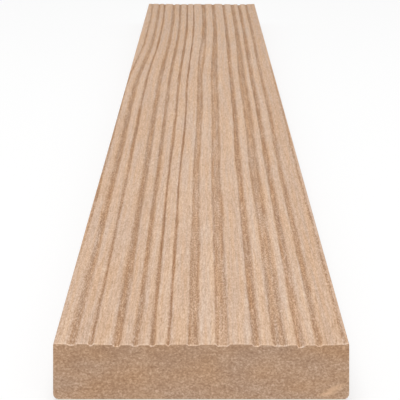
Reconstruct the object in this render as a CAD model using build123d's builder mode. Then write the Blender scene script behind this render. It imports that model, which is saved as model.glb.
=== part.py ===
"""Decking edge trim: one solid length of wood-plastic composite bar with a deep-embossed wood-grain face.

Millimetres, +Z up. The trim lies on its flat back with its face up and its length along Y.
The origin is the middle of the back, and the end at -Y is the front end.
"""

from build123d import *
from itertools import cycle
from math import ceil, pi, sin
import os

# The bar: its thickness is to the top of the embossing, on a section that is 10 mm thick by name
LENGTH = 2200.0
WIDTH = 55.0
THICKNESS = 10.4
BACK_EDGE_RADIUS = 1.0
FACE_EDGE_RADIUS = 0.25

# The embossed grooves, from the left edge of the face to the right one. For each of them: the land before
# it, its left flank, floor and right flank, its depth, and how far it strays to the right by mid-length and
# by the far end. The first land is negative: its groove lies just off the edge, and comes onto the face
# where it strays. A wider bar shows the pattern again from its start.
PATTERN = [
    (-1.60, 0.40, 0.30, 0.40, 0.25, 0.30, 3.55),
    (2.70, 1.00, 0.60, 0.80, 0.30, 0.30, 2.75),
    (1.65, 0.75, 0.15, 0.45, 0.35, 0.25, 1.85),
    (3.00, 0.90, 0.70, 0.60, 0.43, 0.40, 1.80),
    (1.70, 0.50, 0.40, 0.80, 0.33, 0.55, 1.65),
    (1.40, 0.60, 0.30, 0.45, 0.35, 1.00, 2.10),
    (1.95, 0.35, 0.15, 0.35, 0.40, 1.15, 2.30),
    (3.05, 0.45, 1.40, 0.50, 0.28, 1.05, 2.70),
    (2.85, 0.45, 1.85, 0.60, 0.40, 0.90, 2.10),
    (4.00, 0.40, 0.70, 1.00, 0.45, 0.85, 1.15),
    (1.60, 0.60, 1.60, 1.20, 0.35, 0.75, 1.40),
    (1.00, 0.50, 0.50, 1.30, 0.50, 0.40, 0.80),
    (1.30, 0.50, 0.50, 0.80, 0.32, 0.60, 1.05),
    (3.20, 0.40, 0.20, 0.40, 0.20, 0.40, 0.70),
]

# How the grooves run along the bar: where they stray, first towards mid-length and then again towards the
# far end. The grain by the left edge starts the first stray and ends the next one sooner than the grain
# from mid-face on. It also sways, and turns back at the far end, more than the rest.
LEFT_STRAY_START = 300.0
FIRST_STRAY_START = 550.0
FIRST_STRAY_END = 1000.0
NEXT_STRAY_START = 1150.0
LEFT_STRAY_END = 1630.0
NEXT_STRAY_END = 1850.0
TURN_BACK = 0.6
TURN_BACK_END = 2200.0
SWAY = 0.3
SWAY_LENGTH = 1500.0

# How the grooves are cut: straight stretches from one station to the next, past both ends and out of the face
STATION_STEP = 200.0
OVERRUN = 5.0


def grooves_across(width):
    """Each groove that starts on the face, with how far from the left edge it starts."""
    found = []
    edge = 0.0
    for groove in cycle(PATTERN):
        land, left, floor, right = groove[:4]
        start = edge + land
        if start >= width:
            return found
        found.append((start, groove))
        edge = start + left + floor + right


def ease(place, start, end):
    """Smooth rise from 0 at start to 1 at end."""
    share = min(max((place - start) / (end - start), 0.0), 1.0)
    return share * share * (3 - 2 * share)


def wander(start, mid_stray, far_stray, along):
    """Sideways shift of a groove, by where it starts across the face, at a distance from the front end."""
    inward = min(max(2 * start / WIDTH, 0.0), 1.0)
    stray_start = LEFT_STRAY_START + (FIRST_STRAY_START - LEFT_STRAY_START) * inward
    stray_end = LEFT_STRAY_END + (NEXT_STRAY_END - LEFT_STRAY_END) * inward
    stray = mid_stray * ease(along, stray_start, FIRST_STRAY_END)
    stray += (far_stray - mid_stray) * ease(along, NEXT_STRAY_START, stray_end)
    sway = SWAY * sin(2 * pi * along / SWAY_LENGTH) - TURN_BACK * ease(along, NEXT_STRAY_END, TURN_BACK_END)
    return stray + sway * (1 - start / WIDTH)


stretches = ceil(LENGTH / STATION_STEP)
cut_length = LENGTH + 2 * OVERRUN
stations = [cut_length * i / stretches - OVERRUN for i in range(stretches + 1)]

with BuildPart() as edge_trim:
    with BuildSketch(Plane.XZ) as bar_section:
        Rectangle(WIDTH, THICKNESS, align=(Align.CENTER, Align.MIN))
        fillet(bar_section.vertices().group_by(Axis.Y)[0], BACK_EDGE_RADIUS)
        fillet(bar_section.vertices().group_by(Axis.Y)[-1], FACE_EDGE_RADIUS)
    extrude(amount=LENGTH / 2, both=True)

    # Each groove is an open trapezoid, set to its own course at every station, with its flanks carried on up
    for start, (land, left, floor, right, depth, mid_stray, far_stray) in grooves_across(WIDTH):
        rise = 1 + OVERRUN / depth
        for along in stations:
            foot = start + left - WIDTH / 2 + wander(start, mid_stray, far_stray, along)
            with BuildSketch(Plane.XZ.offset(LENGTH / 2 - along)):
                with BuildLine():
                    Polyline(
                        (foot - left * rise, THICKNESS + OVERRUN),
                        (foot, THICKNESS - depth),
                        (foot + floor, THICKNESS - depth),
                        (foot + floor + right * rise, THICKNESS + OVERRUN),
                        close=True,
                    )
                make_face()
        loft(ruled=True, mode=Mode.SUBTRACT)

edge_trim.part.label = "edge_trim"
os.makedirs("parts", exist_ok=True)
export_step(edge_trim.part, "parts/edge_trim.step")
print(f"edge_trim: {edge_trim.part.volume / 1000:.1f} cm3, {len(edge_trim.part.faces())} faces")
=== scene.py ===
"""Looks for the decking edge trim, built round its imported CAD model: metres, in that model's own frame."""

import math

import bpy
import numpy as np
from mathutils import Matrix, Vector


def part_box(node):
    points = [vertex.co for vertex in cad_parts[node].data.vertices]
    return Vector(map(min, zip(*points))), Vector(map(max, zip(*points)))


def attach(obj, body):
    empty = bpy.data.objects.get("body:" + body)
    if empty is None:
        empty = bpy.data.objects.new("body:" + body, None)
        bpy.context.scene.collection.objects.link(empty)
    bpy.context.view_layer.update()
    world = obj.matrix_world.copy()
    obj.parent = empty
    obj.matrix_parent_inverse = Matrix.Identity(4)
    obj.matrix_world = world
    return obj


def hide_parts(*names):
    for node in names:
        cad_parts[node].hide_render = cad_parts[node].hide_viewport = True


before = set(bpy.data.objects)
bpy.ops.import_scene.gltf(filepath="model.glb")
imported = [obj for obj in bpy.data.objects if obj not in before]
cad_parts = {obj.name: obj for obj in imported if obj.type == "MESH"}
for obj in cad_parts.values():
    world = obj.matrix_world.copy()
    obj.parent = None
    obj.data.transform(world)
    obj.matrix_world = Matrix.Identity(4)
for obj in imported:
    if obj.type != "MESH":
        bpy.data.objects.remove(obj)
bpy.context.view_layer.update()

# The trim bar: wood-plastic composite, extruded as one solid flat bar. A heated roller then presses a deep
# wood grain into its face, and a wire brush pales the lands between the grooves.
# It lies on its flat back, as it is stored, with both ends sawn square.
MM = 0.001
low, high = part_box("edge_trim")
bar_width = (high.x - low.x) / MM
bar_length = (high.y - low.y) / MM
bar_thickness = (high.z - low.z) / MM

# The grooves across the face, from the left edge to the right one, in millimetres. For each of them: the
# land before it, its left flank, floor, right flank and depth, how far it has strayed to the right by
# mid-length and by the far end, how much narrower it is there, how dark it is, and how much grit lies along
# its floor.
GRAIN = [
    (-0.45, 0.40, 0.30, 0.40, 0.20, 0.30, 2.55, 0.0, 0.90, 0.0),
    (1.55, 1.00, 0.60, 0.80, 0.30, 0.30, 2.75, 0.3, 1.00, 0.0),
    (1.65, 0.75, 0.15, 0.45, 0.35, 0.25, 1.85, 0.0, 1.20, 0.0),
    (3.00, 0.90, 0.70, 0.60, 0.38, 0.40, 1.80, 0.2, 1.00, 0.1),
    (1.70, 0.50, 0.40, 0.80, 0.28, 0.55, 1.65, 0.0, 1.08, 0.0),
    (1.40, 0.60, 0.30, 0.45, 0.35, 1.00, 2.10, 0.0, 1.30, 0.0),
    (1.95, 0.35, 0.15, 0.35, 0.40, 1.15, 2.30, 0.0, 1.28, 0.0),
    (3.05, 0.45, 1.40, 0.50, 0.28, 1.05, 2.70, 0.0, 0.98, 0.6),
    (2.85, 0.45, 1.85, 0.60, 0.40, 0.90, 2.60, 0.8, 1.00, 0.7),
    (4.00, 0.40, 0.70, 1.00, 0.45, 0.85, 1.15, 0.2, 1.05, 0.1),
    (1.60, 0.60, 1.60, 1.20, 0.28, 0.75, 1.70, 0.7, 0.95, 0.6),
    (1.10, 0.50, 0.50, 1.20, 0.50, 0.40, 0.80, 0.0, 0.97, 0.0),
    (1.30, 0.50, 0.50, 0.80, 0.26, 0.60, 1.05, 0.0, 0.98, 0.1),
    (3.20, 0.40, 0.20, 0.40, 0.08, 0.40, 0.70, 0.0, 0.85, 0.0),
]

# The lands between them: how far each lies below the highest, and its tone
LANDS = [
    (0.00, 0.66),
    (0.00, 0.66),
    (0.00, 0.68),
    (0.09, 0.65),
    (0.19, 0.66),
    (0.21, 0.68),
    (0.09, 0.69),
    (0.07, 0.68),
    (0.11, 0.70),
    (0.03, 0.68),
    (0.21, 0.71),
    (0.23, 0.71),
    (0.23, 0.70),
    (0.19, 0.60),
    (0.00, 0.64),
]

# Grit lies clear of the flanks, lifts the floor by a share of its depth, and pales it by a share of its
# shade
GRIT_MARGIN = 0.4
GRIT_LIFT = 0.25
GRIT_PALING = 0.45

# One wide groove forks round a ridge: which it is, where, over what half-length, how far its sides spread,
# how much further the ridge keeps clear of them than grit does, and how high it is beside grit
FORK_GROOVE = 7
FORK_PLACE = 1480.0
FORK_REACH = 190.0
FORK_SPREAD = 0.35
FORK_MARGIN = 0.6
FORK_RISE = 1.4

# Two thin grooves are pinched to a line. For each of them: which it is, where, over what half-length, how
# far each of its sides closes in, and how much darker it is there.
PINCHES = [
    (2, 250.0, 450.0, 0.14, 0.0),
    (5, 440.0, 270.0, 0.24, 0.5),
]

# The grooves along the two edges show in part: the left one from one place on, the right one up to another
LEFT_SHOWS_FROM = 270.0
RIGHT_SHOWS_TO = 1280.0
SHOW_FADE = 220.0

# Where the grain strays, first towards the middle of the bar and then again towards the far end, sooner by
# the left edge than from mid-face on, and how far it sways and turns back there
LEFT_STRAY_START = 300.0
STRAY_START = 550.0
STRAY_MIDDLE = 1000.0
STRAY_TURN = 1150.0
LEFT_STRAY_END = 1630.0
STRAY_END = 1850.0
TURN_BACK = 0.6
SWAY = 0.3
SWAY_LENGTH = 1500.0

# How uneven the grooves are in the run of their sides, in depth and in shade: each row is the length of a
# step along the bar, and how far a step may go
SIDE_STEPS = [
    (21.0, 0.08),
    (95.0, 0.13),
]
DEPTH_STEPS = [
    (130.0, 0.15),
]
SHADE_STEPS = [
    (170.0, 0.18),
    (45.0, 0.10),
]
SEED = 11

# The tone of a groove's floor, and how dark the grooves are at places from the front end to the far one
FLOOR_TONE = 0.28
SHADE_PLACES = (0.0, 1000.0, bar_length)
SHADE_LEVELS = (0.88, 1.0, 1.07)

# The rounded edges, the worn arris of the sawn ends, and the mesh's steps across and along the face
EDGE_RADIUS = 0.25
EDGE_STEPS = 4
ARRIS = 0.18
WORN = 1.5
BACK_RADIUS = 1.0
COLUMN_STEP = 0.2
ROW_STEP = 7.0

# Where each groove lies at the front end, and what the grain's course and the lands' heights are read from
widths = np.array([[land, left + floor + right] for land, left, floor, right, *rest in GRAIN])
land_drops, land_tones = np.array(LANDS).T
groove_ends = np.cumsum(widths.sum(axis=1))
groove_starts = groove_ends - widths[:, 1]
groove_middles = (groove_starts + groove_ends) / 2
stray_middles = np.array([row[5] for row in GRAIN])
stray_turns = np.array([row[6] for row in GRAIN]) - stray_middles
land_middles = np.append(groove_starts - widths[:, 0] / 2, (groove_ends[-1] + bar_width) / 2)


def ease(place, start, end):
    """Smooth rise from 0 at start to 1 at end."""
    share = np.clip((place - start) / (end - start), 0.0, 1.0)
    return share * share * (3 - 2 * share)


def wander(across, along):
    """Sideways shift of the grain at a place, given from the left edge and from the front end."""
    inward = np.clip(2 * across / bar_width, 0.0, 1.0)
    stray_start = LEFT_STRAY_START + (STRAY_START - LEFT_STRAY_START) * inward
    stray_end = LEFT_STRAY_END + (STRAY_END - LEFT_STRAY_END) * inward
    stray = np.interp(across, groove_middles, stray_middles) * ease(along, stray_start, STRAY_MIDDLE)
    stray += np.interp(across, groove_middles, stray_turns) * ease(along, STRAY_TURN, stray_end)
    sway = SWAY * np.sin(2 * math.pi * along / SWAY_LENGTH)
    sway -= TURN_BACK * ease(along, STRAY_END, bar_length)
    return stray + sway * (1 - across / bar_width)


def wobble(dice, along, steps):
    """An uneven line along the bar: it turns at each kind of step, and stays within their reach."""
    line = np.zeros_like(along)
    for step, reach in steps:
        knots = np.arange(-step, bar_length + 2 * step, step)
        line += np.interp(along, knots, dice.uniform(-reach, reach, len(knots)))
    return line


def hump(along, place, reach):
    """1 at a place along the bar, falling to 0 at reach from it."""
    return np.clip(1 - ((along - place) / reach) ** 2, 0.0, 1.0)


def emboss(across, along):
    """How deep the roller has pressed the face at each place, the tone that leaves, and its grit."""
    dice = np.random.default_rng(SEED)
    press = np.zeros_like(across)
    dark = np.zeros_like(across)
    grit = np.zeros_like(across)
    for index, (start, end, groove) in enumerate(zip(groove_starts, groove_ends, GRAIN)):
        land, left, floor, right, depth, mid_stray, far_stray, narrowing, shade, gather = groove
        shift = wander((start + end) / 2, along)
        fork = hump(along, FORK_PLACE, FORK_REACH) * (index == FORK_GROOVE)
        pinch = 0.0
        for number, place, reach, squeeze, darkening in PINCHES:
            if number == index:
                pinch = squeeze * hump(along, place, reach)
                shade = shade + darkening * hump(along, place, reach)
        near = start + shift + pinch - FORK_SPREAD * fork
        near += wobble(dice, along, SIDE_STEPS)
        far = end + shift - pinch + FORK_SPREAD * fork - narrowing * ease(along, STRAY_TURN, STRAY_END)
        far += wobble(dice, along, SIDE_STEPS)
        left_foot = near + left
        right_foot = far - right
        down = np.minimum(ease(across, near, left_foot), ease(-across, -far, -right_foot))
        if index == 0:
            down *= ease(along, LEFT_SHOWS_FROM - SHOW_FADE, LEFT_SHOWS_FROM + SHOW_FADE)
        if index == len(GRAIN) - 1:
            down *= 1 - ease(along, RIGHT_SHOWS_TO - SHOW_FADE, RIGHT_SHOWS_TO + SHOW_FADE)
        margin = GRIT_MARGIN + FORK_MARGIN * fork
        middle = ease(across, left_foot, left_foot + margin)
        middle *= ease(-across, -right_foot, margin - right_foot)
        rise = (gather * (1 - ease(along, STRAY_MIDDLE, STRAY_END)) + FORK_RISE * fork) * middle
        swell = 1 + wobble(dice, along, DEPTH_STEPS)
        press = np.maximum(press, depth * swell * (down - GRIT_LIFT * rise))
        shade = shade * (1 + wobble(dice, along, SHADE_STEPS))
        shade *= np.interp(along, SHADE_PLACES, SHADE_LEVELS)
        dark = np.maximum(dark, shade * (down - GRIT_PALING * rise))
        grit = np.maximum(grit, down)
    unstrayed = across - wander(across, along)
    press += np.interp(unstrayed, land_middles, land_drops)
    land_tone = np.interp(unstrayed, land_middles, land_tones)
    return press, land_tone + (FLOOR_TONE - land_tone) * dark, grit


# The face starts as a flat grid, with closer columns and rows where its edges round over
turn = np.linspace(0.0, math.pi / 2, EDGE_STEPS + 1)
edge_places = EDGE_RADIUS * (1 - np.cos(turn))
edge_drops = EDGE_RADIUS * (1 - np.sin(turn))
arris_places = np.append(ARRIS * (1 - np.cos(turn)), ARRIS + WORN)
arris_drops = np.append(ARRIS * (1 - np.sin(turn)), 0.0)
flat_columns = round((bar_width - 2 * EDGE_RADIUS) / COLUMN_STEP)
flat_rows = round((bar_length - 2 * arris_places[-1]) / ROW_STEP)
inner_columns = np.linspace(EDGE_RADIUS, bar_width - EDGE_RADIUS, flat_columns + 1)[1:-1]
inner_rows = np.linspace(arris_places[-1], bar_length - arris_places[-1], flat_rows + 1)[1:-1]
columns = np.concatenate([edge_places, inner_columns, bar_width - edge_places[::-1]])
column_drops = np.concatenate([edge_drops, np.zeros(len(inner_columns)), edge_drops[::-1]])
rows = np.concatenate([arris_places, inner_rows, bar_length - arris_places[::-1]])
row_drops = np.concatenate([arris_drops, np.zeros(len(inner_rows)), arris_drops[::-1]])

bpy.ops.object.select_all(action="DESELECT")
bpy.ops.mesh.primitive_grid_add(x_subdivisions=len(columns) - 1, y_subdivisions=len(rows) - 1, size=1)
bar = bpy.context.active_object
bar.name = "trim_bar"


def points_of(piece):
    """The piece's points, as an array of one row each."""
    points = np.empty(len(piece.data.vertices) * 3)
    piece.data.vertices.foreach_get("co", points)
    return points.reshape(-1, 3)


sheet = points_of(bar)
column = np.rint((sheet[:, 0] + 0.5) * (len(columns) - 1)).astype(int)
row = np.rint((sheet[:, 1] + 0.5) * (len(rows) - 1)).astype(int)
pressed = emboss(columns[column], rows[row])[0]
sheet[:, 0] = low.x + columns[column] * MM
sheet[:, 1] = low.y + rows[row] * MM
sheet[:, 2] = high.z - (np.hypot(column_drops[column], row_drops[row]) + pressed) * MM
bar.data.vertices.foreach_set("co", sheet.ravel())
bar.data.update()


def select_edges(piece, inside):
    """Leaves the piece in edit mode, with the edges selected whose two ends are inside."""
    bpy.ops.object.mode_set(mode="EDIT")
    bpy.ops.mesh.select_mode(type="EDGE")
    bpy.ops.mesh.select_all(action="DESELECT")
    bpy.ops.object.mode_set(mode="OBJECT")
    ends = np.empty(len(piece.data.edges) * 2, dtype=int)
    piece.data.edges.foreach_get("vertices", ends)
    piece.data.edges.foreach_set("select", inside[ends.reshape(-1, 2)].all(axis=1))
    bpy.ops.object.mode_set(mode="EDIT")


# The two long sides are drawn down from the sheet to the floor, and the back is bridged between them
CLOSE = 1e-6
EDGE_BAND = 0.3
left_side = np.abs(points_of(bar)[:, 0] - low.x) < CLOSE
right_side = np.abs(points_of(bar)[:, 0] - high.x) < CLOSE
select_edges(bar, left_side | right_side)
bpy.ops.mesh.extrude_region()
bpy.ops.transform.translate(value=(0, 0, -EDGE_BAND * MM))
bpy.ops.mesh.extrude_region()
bpy.ops.transform.resize(value=(1, 1, 0), center_override=(0, 0, low.z))
bpy.ops.mesh.bridge_edge_loops()
bpy.ops.object.mode_set(mode="OBJECT")

# Each end is closed with one flat face, kept sharp against the arris that runs round it
for end_y in (low.y, high.y):
    select_edges(bar, np.abs(points_of(bar)[:, 1] - end_y) < CLOSE)
    bpy.ops.mesh.edge_face_add()
    bpy.ops.mesh.mark_sharp()
    bpy.ops.object.mode_set(mode="OBJECT")

# The back's two long edges are rounded, as the die leaves them
for side_x in (low.x, high.x):
    points = points_of(bar)
    on_back = np.abs(points[:, 2] - low.z) < CLOSE
    select_edges(bar, on_back & (np.abs(points[:, 0] - side_x) < CLOSE))
    bpy.ops.mesh.bevel(offset=BACK_RADIUS * MM, offset_type="OFFSET", segments=EDGE_STEPS, profile=0.5)
    bpy.ops.object.mode_set(mode="OBJECT")
bpy.ops.object.mode_set(mode="EDIT")
bpy.ops.mesh.select_all(action="SELECT")
bpy.ops.mesh.normals_make_consistent(inside=False)
bpy.ops.object.mode_set(mode="OBJECT")
SMOOTH_ANGLE = math.radians(50)
bpy.ops.object.shade_smooth_by_angle(angle=SMOOTH_ANGLE)

# What the finish reads at every point: a place along the wandering grain, the tone that embossing and
# brushing left, and the grit
SKIN_TONE = 0.50
ARRIS_HIGHLIGHT_TONE = 0.78
points = points_of(bar)
across = (points[:, 0] - low.x) / MM
along = (points[:, 1] - low.y) / MM
height = (points[:, 2] - low.z) / MM
pressed, tone, gritty = emboss(across, along)
from_face = bar_thickness - pressed - height
from_end = np.minimum(along, bar_length - along)
# Painted highlight: the arris and the strip behind it at each sawn end are painted paler than the lands
tone = ARRIS_HIGHLIGHT_TONE + (tone - ARRIS_HIGHLIGHT_TONE) * ease(from_end, 0.0, ARRIS + WORN)
is_skin = (np.minimum(across, bar_width - across) < CLOSE / MM) & (from_face > EDGE_RADIUS + EDGE_BAND / 2)
is_skin |= height < bar_thickness / 2
tone[is_skin] = SKIN_TONE
gritty[is_skin] = 0.0
grain = np.column_stack([across - wander(across, along), along, height])
for name, kind, field, values in (
        ("grain", "FLOAT_VECTOR", "vector", grain),
        ("tone", "FLOAT", "value", tone),
        ("grit", "FLOAT", "value", gritty)):
    layer = bar.data.attributes.new(name, kind, "POINT")
    layer.data.foreach_set(field, values.ravel())


def new_material(name):
    """A node material, with its tree and its shader."""
    material = bpy.data.materials.new(name)
    material.use_nodes = True
    return material, material.node_tree, material.node_tree.nodes["Principled BSDF"]


def add_node(tree, kind, **settings):
    """A new node of that kind, with its settings."""
    made = tree.nodes.new(kind)
    for name, value in settings.items():
        setattr(made, name, value)
    return made


def noise(tree, place, grain_size, detail, twist=0.0):
    """Cloudy noise about zero, with clouds of that size in the units of the place, twisted if asked."""
    mapping = add_node(tree, "ShaderNodeMapping")
    mapping.inputs["Scale"].default_value = [1 / size for size in grain_size]
    clouds = add_node(tree, "ShaderNodeTexNoise")
    clouds.inputs["Scale"].default_value = 1.0
    clouds.inputs["Detail"].default_value = detail
    clouds.inputs["Distortion"].default_value = twist
    tree.links.new(place, mapping.inputs["Vector"])
    tree.links.new(mapping.outputs["Vector"], clouds.inputs["Vector"])
    centred = add_node(tree, "ShaderNodeMath", operation="SUBTRACT")
    centred.inputs[1].default_value = 0.5
    tree.links.new(clouds.outputs["Fac"], centred.inputs[0])
    return centred.outputs[0]


def feed(tree, amount, socket):
    """Sets the socket to a plain number, or links another socket to it."""
    if isinstance(amount, float):
        socket.default_value = amount
    else:
        tree.links.new(amount, socket)


def mix_in(tree, value, amount, total):
    """total plus amount times value."""
    step = add_node(tree, "ShaderNodeMath", operation="MULTIPLY_ADD")
    tree.links.new(value, step.inputs[0])
    feed(tree, amount, step.inputs[1])
    tree.links.new(total, step.inputs[2])
    return step.outputs[0]


def colour_ramp(tree, value, stops):
    """Colours by tone: stops are place and linear colour."""
    ramp = add_node(tree, "ShaderNodeValToRGB")
    for element, (place, colour) in zip(ramp.color_ramp.elements, (stops[0], stops[-1])):
        element.position = place
        element.color = (*colour, 1)
    for place, colour in stops[1:-1]:
        ramp.color_ramp.elements.new(place).color = (*colour, 1)
    tree.links.new(value, ramp.inputs["Fac"])
    return ramp.outputs["Color"]


WARM_CAST = (1.02, 0.96, 0.88)
COOL_CAST = (0.96, 1.0, 1.09)


def tinted(tree, colour, place, patch_size, strength):
    """The colour with faint patches of a warmer and a cooler cast."""
    cast = add_node(tree, "ShaderNodeMath", operation="ADD")
    cast.inputs[1].default_value = 0.5
    tree.links.new(noise(tree, place, patch_size, 1.0), cast.inputs[0])
    casts = colour_ramp(tree, cast.outputs[0], [(0.3, WARM_CAST), (0.7, COOL_CAST)])
    blend = add_node(tree, "ShaderNodeMix", data_type="RGBA", blend_type="MULTIPLY")
    feed(tree, strength, blend.inputs["Factor"])
    tree.links.new(colour, blend.inputs["A"])
    tree.links.new(casts, blend.inputs["B"])
    return blend.outputs["Result"]


def rough_and_bump(tree, shader, value, roughness, height, strength):
    """Roughness over a range by a value, and bump of that height in metres by the same value."""
    spread = add_node(tree, "ShaderNodeMapRange")
    spread.inputs["To Min"].default_value, spread.inputs["To Max"].default_value = roughness
    tree.links.new(value, spread.inputs["Value"])
    tree.links.new(spread.outputs["Result"], shader.inputs["Roughness"])
    bump = add_node(tree, "ShaderNodeBump")
    bump.inputs["Strength"].default_value = strength
    bump.inputs["Distance"].default_value = height
    tree.links.new(value, bump.inputs["Height"])
    tree.links.new(bump.outputs["Normal"], shader.inputs["Normal"])


# Embossed composite: pale where it is brushed, darker and redder in the grooves, with streaks that run with
# the grain and short wood fibres. The marks' sizes are across, along and through it, in millimetres.
DULL_SHINE = 0.15
face_finish, tree, shader = new_material("embossed_composite")
shader.inputs["Specular IOR Level"].default_value = DULL_SHINE
grain_place = add_node(tree, "ShaderNodeAttribute", attribute_name="grain").outputs["Vector"]
grain_tone = add_node(tree, "ShaderNodeAttribute", attribute_name="tone").outputs["Fac"]
grain_grit = add_node(tree, "ShaderNodeAttribute", attribute_name="grit").outputs["Fac"]


def by_grit(on_lands, in_grooves):
    """An amount that goes from one value on the lands to another in the grooves."""
    amount = add_node(tree, "ShaderNodeMapRange")
    amount.inputs["To Min"].default_value = on_lands
    amount.inputs["To Max"].default_value = in_grooves
    tree.links.new(grain_grit, amount.inputs["Value"])
    return amount.outputs["Result"]


streaks = noise(tree, grain_place, (0.8, 400.0, 20.0), detail=2.0)
fibres = noise(tree, grain_place, (0.21, 4.8, 0.5), detail=1.0)
hairs = noise(tree, grain_place, (0.28, 26.0, 1.0), detail=1.0)
bundles = noise(tree, grain_place, (0.5, 14.0, 2.0), detail=1.0)
stretches = noise(tree, grain_place, (0.6, 65.0, 2.0), detail=1.0)
clouds = noise(tree, grain_place, (9.0, 90.0, 9.0), detail=1.0)
tone_socket = mix_in(tree, clouds, 0.10, grain_tone)
for marks, on_lands, in_grooves in (
        (streaks, 0.25, 0.06),
        (hairs, 0.50, 0.30),
        (bundles, 0.24, 0.45),
        (stretches, 0.05, 0.62),
        (fibres, 0.88, 1.54)):
    tone_socket = mix_in(tree, marks, by_grit(on_lands, in_grooves), tone_socket)
COMPOSITE_COLOURS = [
    (0.00, (0.330, 0.172, 0.082)),
    (0.30, (0.468, 0.279, 0.158)),
    (0.70, (0.681, 0.467, 0.323)),
    (1.00, (0.832, 0.645, 0.488)),
]
composite_colour = colour_ramp(tree, tone_socket, COMPOSITE_COLOURS)
composite_colour = tinted(tree, composite_colour, grain_place, (0.9, 140.0, 3.0), by_grit(0.75, 1.0))
tree.links.new(composite_colour, shader.inputs["Base Color"])
relief = mix_in(tree, streaks, 0.6, fibres)
rough_and_bump(tree, shader, relief, roughness=(0.78, 0.95), height=0.00006, strength=0.5)

# Sawn composite: the same stuff cut through, darker and matt, and flecked with the ends of the wood fibres.
# It is a little darker under the face and paler towards the back: painted light, as if bounced up from the
# floor
SAWN_TONE_BELOW = 0.58
SAWN_TONE_ABOVE = 0.46

# The front end is scuffed pale at its right corners. For each scuff: how far it lies to the right of the
# middle and above the back, how steeply it rises in degrees, its length and breadth, and how well it covers.
SCUFF_COLOUR = (0.82, 0.54, 0.345, 1)
SCUFF_RAGGED = 0.7
SCUFF_CORE = 0.1
SCUFFS = [
    (24.5, 1.75, 24.0, 7.2, 1.9, 0.70),
    (23.4, 0.95, 6.0, 4.8, 1.0, 0.48),
    (26.5, 9.40, 80.0, 2.0, 1.0, 0.45),
]
sawn_finish, tree, shader = new_material("sawn_composite")
shader.inputs["Specular IOR Level"].default_value = DULL_SHINE
sawn_place = add_node(tree, "ShaderNodeTexCoord").outputs["Object"]
flecks = noise(tree, sawn_place, (0.00046, 0.0005, 0.00034), detail=3.0, twist=0.7)
mottles = noise(tree, sawn_place, (0.0017, 0.0017, 0.0008), detail=1.0)
patches = noise(tree, sawn_place, (0.006, 0.006, 0.003), detail=1.0)
depth_in = add_node(tree, "ShaderNodeSeparateXYZ")
tree.links.new(sawn_place, depth_in.inputs[0])
# Painted light: the tone rises from under the face towards the back, as light bounced up from the floor
# would leave it
painted_floor_bounce = add_node(tree, "ShaderNodeMapRange")
painted_floor_bounce.inputs["From Min"].default_value = low.z
painted_floor_bounce.inputs["From Max"].default_value = high.z
painted_floor_bounce.inputs["To Min"].default_value = SAWN_TONE_BELOW
painted_floor_bounce.inputs["To Max"].default_value = SAWN_TONE_ABOVE
tree.links.new(depth_in.outputs["Z"], painted_floor_bounce.inputs["Value"])
sawn_tone = mix_in(tree, patches, 0.4, painted_floor_bounce.outputs["Result"])
sawn_tone = mix_in(tree, mottles, 0.5, sawn_tone)
sawn_tone = mix_in(tree, flecks, 1.8, sawn_tone)
SAWN_COLOURS = [
    (0.00, (0.345, 0.195, 0.112)),
    (0.50, (0.510, 0.320, 0.200)),
    (1.00, (0.740, 0.520, 0.365)),
]
sawn_colour = colour_ramp(tree, sawn_tone, SAWN_COLOURS)
sawn_colour = tinted(tree, sawn_colour, sawn_place, (0.009, 0.009, 0.005), 0.7)
for to_right, up, rise, stroke, breadth, cover in SCUFFS:
    scuffed = add_node(tree, "ShaderNodeMapping", vector_type="TEXTURE")
    scuffed.inputs["Location"].default_value = (to_right * MM, low.y, up * MM)
    scuffed.inputs["Rotation"].default_value = (0, -math.radians(rise), 0)
    scuffed.inputs["Scale"].default_value = (stroke / 2 * MM, stroke * MM, breadth / 2 * MM)
    tree.links.new(sawn_place, scuffed.inputs["Vector"])
    from_scuff = add_node(tree, "ShaderNodeVectorMath", operation="LENGTH")
    tree.links.new(scuffed.outputs["Vector"], from_scuff.inputs[0])
    pale = add_node(tree, "ShaderNodeMapRange", interpolation_type="SMOOTHSTEP")
    pale.inputs["From Min"].default_value = 1.0
    pale.inputs["From Max"].default_value = SCUFF_CORE
    pale.inputs["To Max"].default_value = cover
    tree.links.new(mix_in(tree, flecks, -SCUFF_RAGGED, from_scuff.outputs["Value"]), pale.inputs["Value"])
    scuff = add_node(tree, "ShaderNodeMix", data_type="RGBA")
    scuff.inputs["B"].default_value = SCUFF_COLOUR
    tree.links.new(pale.outputs["Result"], scuff.inputs["Factor"])
    tree.links.new(sawn_colour, scuff.inputs["A"])
    sawn_colour = scuff.outputs["Result"]
tree.links.new(sawn_colour, shader.inputs["Base Color"])
rough_and_bump(tree, shader, flecks, roughness=(0.85, 0.97), height=0.00008, strength=0.6)

# The faces that look along the bar take the sawn finish, and the rest take the embossed one
FACING_END = 0.99
normals = np.empty(len(bar.data.polygons) * 3)
bar.data.polygons.foreach_get("normal", normals)
normals = normals.reshape(-1, 3)
bar.data.materials.append(face_finish)
bar.data.materials.append(sawn_finish)
is_end = np.abs(normals[:, 1]) > FACING_END
bar.data.polygons.foreach_set("material_index", is_end.astype(np.int32))

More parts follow.
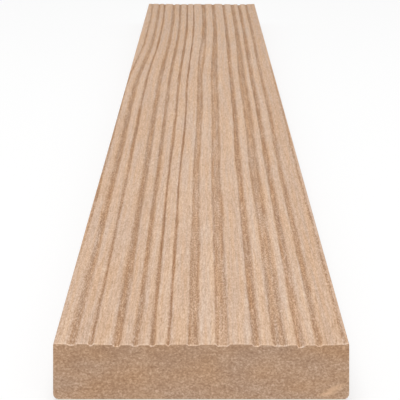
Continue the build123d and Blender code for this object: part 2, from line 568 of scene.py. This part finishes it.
# The layout that the finish is baked on: the four long sides one above the other, and the two ends side by
# side below them. For each side: the axis that it faces along and which way, and its lower left corner and
# its size in the layout.
LAYOUT_NAME = "OFBake"
LAYOUT = [
    (2, 1, (0.01, 0.45), (0.98, 0.54)),
    (2, -1, (0.01, 0.22), (0.98, 0.21)),
    (0, -1, (0.01, 0.16), (0.98, 0.05)),
    (0, 1, (0.01, 0.10), (0.98, 0.05)),
    (1, -1, (0.01, 0.01), (0.44, 0.08)),
    (1, 1, (0.51, 0.01), (0.44, 0.08)),
]
corners = np.empty(len(bar.data.loops), dtype=np.int32)
bar.data.loops.foreach_get("vertex_index", corners)
corner_counts = np.empty(len(bar.data.polygons), dtype=np.int32)
bar.data.polygons.foreach_get("loop_total", corner_counts)
main_axis = np.abs(normals).argmax(axis=1)
main_way = np.sign(normals[np.arange(len(normals)), main_axis])
places = np.column_stack([across / bar_width, along / bar_length, height / bar_thickness])[corners]
layout = np.zeros((len(corners), 2))
for axis, way, corner, size in LAYOUT:
    on_side = np.repeat((main_axis == axis) & (main_way == way), corner_counts)
    sideways = 0 if axis == 1 else 1
    upward = 0 if axis == 2 else 2
    layout[on_side] = corner + places[on_side][:, [sideways, upward]] * size
bar.data.uv_layers.new(name=LAYOUT_NAME).uv.foreach_set("vector", layout.ravel())

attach(bar, "root")
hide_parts("edge_trim")

# The floor: a wide plain studio sweep, near white, that takes the bar's soft shadow. It is lit from below
# as well, more so away from the bar, where the lamps no longer reach.
FLOOR_SIZE = 60.0
FLOOR_GAP = 0.0002
FLOOR_COLOUR = (0.32, 0.32, 0.32, 1)
FLOOR_GLOW = 0.70
FAR_GLOW = 0.86
GLOW_START = 1.2
GLOW_END = 6.0
bpy.ops.object.select_all(action="DESELECT")
bpy.ops.mesh.primitive_plane_add(size=FLOOR_SIZE, location=(0, 0, low.z - FLOOR_GAP))
floor = bpy.context.active_object
floor.name = "studio_floor"
floor_finish, tree, shader = new_material("studio_white")
shader.inputs["Base Color"].default_value = FLOOR_COLOUR
shader.inputs["Roughness"].default_value = 1.0
shader.inputs["Specular IOR Level"].default_value = 0.0
shader.inputs["Emission Color"].default_value = (1, 1, 1, 1)


def seen_rays(tree):
    """1 for rays that show the backdrop to the camera, straight or by way of a piece, 0 for the rest."""
    path = add_node(tree, "ShaderNodeLightPath")
    straight = add_node(tree, "ShaderNodeMath", operation="MAXIMUM")
    tree.links.new(path.outputs["Is Camera Ray"], straight.inputs[0])
    tree.links.new(path.outputs["Is Glossy Ray"], straight.inputs[1])
    through = add_node(tree, "ShaderNodeMath", operation="MAXIMUM")
    tree.links.new(straight.outputs[0], through.inputs[0])
    tree.links.new(path.outputs["Is Transmission Ray"], through.inputs[1])
    return through.outputs[0]


from_middle = add_node(tree, "ShaderNodeVectorMath", operation="LENGTH")
tree.links.new(add_node(tree, "ShaderNodeTexCoord").outputs["Object"], from_middle.inputs[0])
glow = add_node(tree, "ShaderNodeMapRange", interpolation_type="SMOOTHSTEP")
glow.inputs["From Min"].default_value = GLOW_START
glow.inputs["From Max"].default_value = GLOW_END
glow.inputs["To Min"].default_value = FLOOR_GLOW
glow.inputs["To Max"].default_value = FAR_GLOW
tree.links.new(from_middle.outputs["Value"], glow.inputs["Value"])
seen_glow = add_node(tree, "ShaderNodeMath", operation="MULTIPLY")
tree.links.new(glow.outputs["Result"], seen_glow.inputs[0])
tree.links.new(seen_rays(tree), seen_glow.inputs[1])
tree.links.new(seen_glow.outputs[0], shader.inputs["Emission Strength"])
floor.data.materials.append(floor_finish)

# The light: an even white surround, a large soft key high above the front half of the bar and a little to
# the left, and a low fill in front of the sawn end
SURROUND = 0.5
world = bpy.data.worlds.new("studio_surround")
bpy.context.scene.world = world
world.use_nodes = True
tree = world.node_tree
level = add_node(tree, "ShaderNodeMapRange")
level.inputs["To Min"].default_value = SURROUND
level.inputs["To Max"].default_value = 1.0
tree.links.new(seen_rays(tree), level.inputs["Value"])
tree.nodes["Background"].inputs["Color"].default_value = (1, 1, 1, 1)
tree.links.new(level.outputs["Result"], tree.nodes["Background"].inputs["Strength"])


def softbox(name, place, target, size, power):
    """A square area lamp at a place, turned to a target."""
    turn_to = (Vector(target) - Vector(place)).to_track_quat("-Z", "Y")
    bpy.ops.object.light_add(type="AREA", location=place, rotation=turn_to.to_euler())
    lamp = bpy.context.active_object
    lamp.name = name
    lamp.data.shape = "SQUARE"
    lamp.data.size = size
    lamp.data.energy = power


softbox("key_softbox", place=(-0.4, -1.0, 5.0), target=(0, -0.8, 0), size=3.2, power=122.0)
softbox("front_fill", place=(0.2, -4.0, 0.45), target=(0, -1.1, 0), size=0.8, power=37.0)

# The camera: low in front of the sawn end, with a long lens, so that the bar runs away from it to the top
# of the frame
CAMERA_LENS = 587.4
CAMERA_PLACE = Vector((0.00015, low.y - 1.208, high.z + 0.09765))
CAMERA_AIM = Vector((-0.00035, low.y + 0.4521, high.z + 0.00008))
bpy.ops.object.camera_add(location=CAMERA_PLACE)
camera = bpy.context.active_object
camera.rotation_euler = (CAMERA_AIM - CAMERA_PLACE).to_track_quat("-Z", "Y").to_euler()
camera.data.lens = CAMERA_LENS
camera.data.sensor_width = 36.0
bpy.context.scene.camera = camera
bpy.context.scene.view_settings.view_transform = "Standard"
